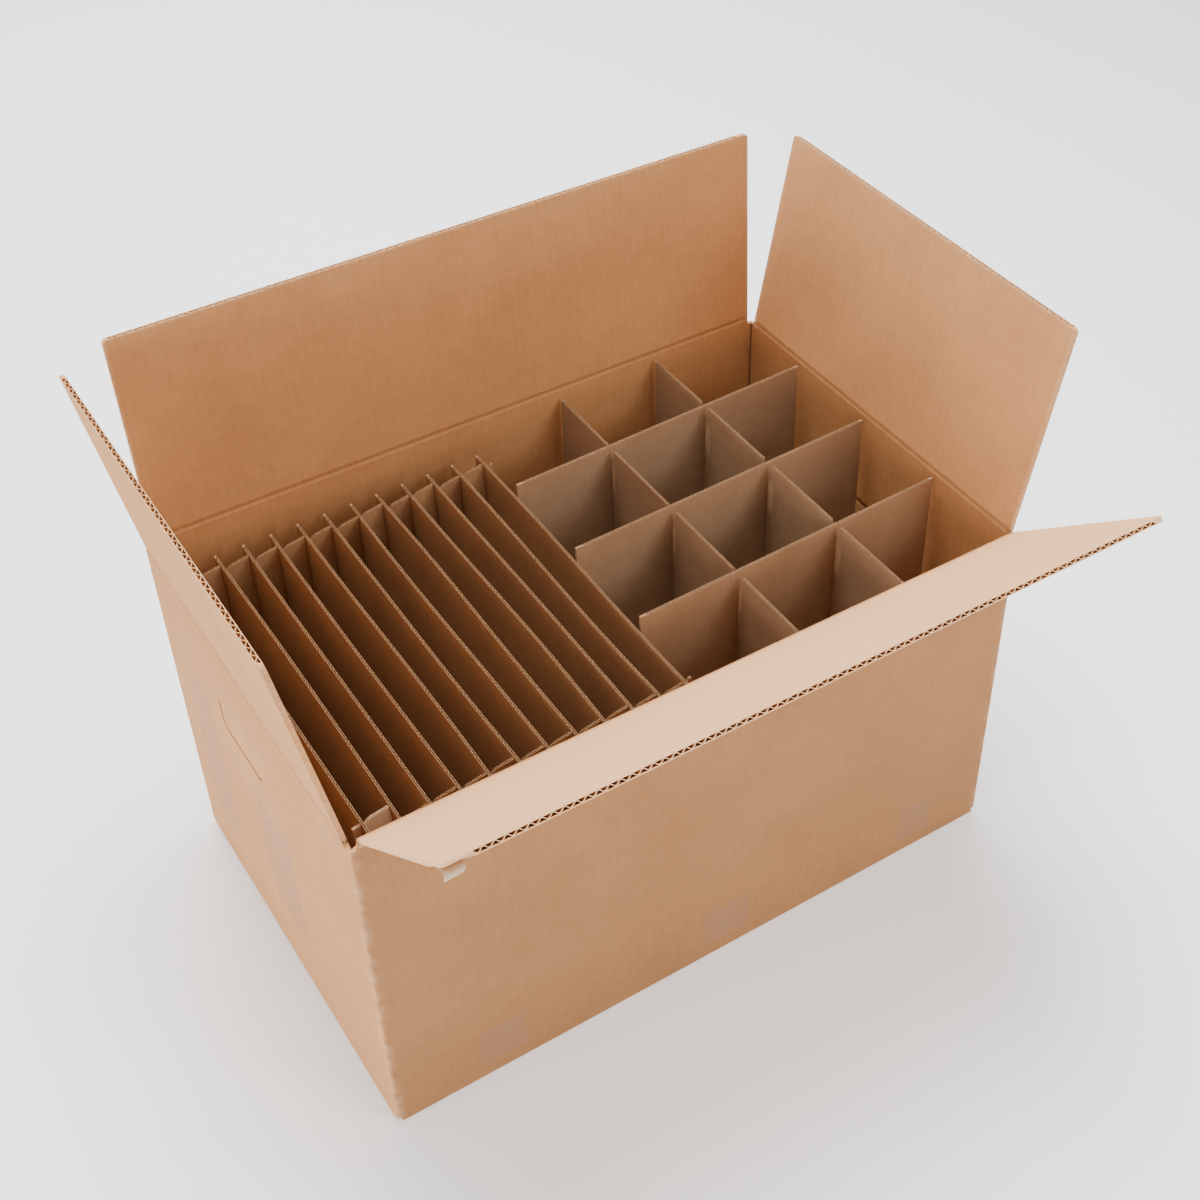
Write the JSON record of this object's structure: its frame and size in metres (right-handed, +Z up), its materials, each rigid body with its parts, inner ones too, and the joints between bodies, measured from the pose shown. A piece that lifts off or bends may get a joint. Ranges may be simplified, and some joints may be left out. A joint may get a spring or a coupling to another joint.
{
  "type": "bottle shipping box",
  "caption": "Open corrugated carton with hinged top flaps; slotted dividers make bottle cells on one side and a plate rack on the other.",
  "frame": {"origin": "middle of the carton's plan on its underside, on the face that it stands on", "axes": "+Z up; +X along the long walls, towards the bottle cells; +Y from the front wall to the back wall"},
  "size_m": [0.6681, 0.532, 0.5317],
  "materials": {
    "kraft_carton": "matte",
    "kraft_flap": "matte",
    "kraft_divider": "matte",
    "kraft_rack": "matte"
  },
  "bodies": {
    "carton": {"box_shell": "kraft_carton", "long_divider_1": "kraft_divider", "long_divider_2": "kraft_divider", "long_divider_3": "kraft_divider", "cross_divider_1": "kraft_divider", "cross_divider_2": "kraft_divider", "rack_comb_front": "kraft_rack", "rack_comb_back": "kraft_rack", "rack_sheet_01": "kraft_rack", "rack_sheet_02": "kraft_rack", "rack_sheet_03": "kraft_rack", "rack_sheet_04": "kraft_rack", "rack_sheet_05": "kraft_rack", "rack_sheet_06": "kraft_rack", "rack_sheet_07": "kraft_rack", "rack_sheet_08": "kraft_rack", "rack_sheet_09": "kraft_rack", "rack_sheet_10": "kraft_rack", "rack_sheet_11": "kraft_rack", "rack_sheet_12": "kraft_rack"},
    "front_flap": {"flap_front": "kraft_flap"},
    "back_flap": {"flap_back": "kraft_flap"},
    "left_flap": {"flap_left": "kraft_flap"},
    "right_flap": {"flap_right": "kraft_flap"}
  },
  "joints": [
    {"name": "flap_front_fold", "type": "hinge", "parent": "carton", "child": "front_flap", "pos_m": [0, -0.188, 0.3443], "axis": [1, 0, 0], "range_deg": [-140.3, 83.7]},
    {"name": "flap_back_fold", "type": "hinge", "parent": "carton", "child": "back_flap", "pos_m": [0, 0.188, 0.3443], "axis": [-1, 0, 0], "range_deg": [-92.6, 131.4]},
    {"name": "flap_left_fold", "type": "hinge", "parent": "carton", "child": "left_flap", "pos_m": [-0.298, 0, 0.34], "axis": [0, -1, 0], "range_deg": [-99.6, 124.4]},
    {"name": "flap_right_fold", "type": "hinge", "parent": "carton", "child": "right_flap", "pos_m": [0.298, 0, 0.34], "axis": [0, 1, 0], "range_deg": [-101.3, 122.7]}
  ]
}
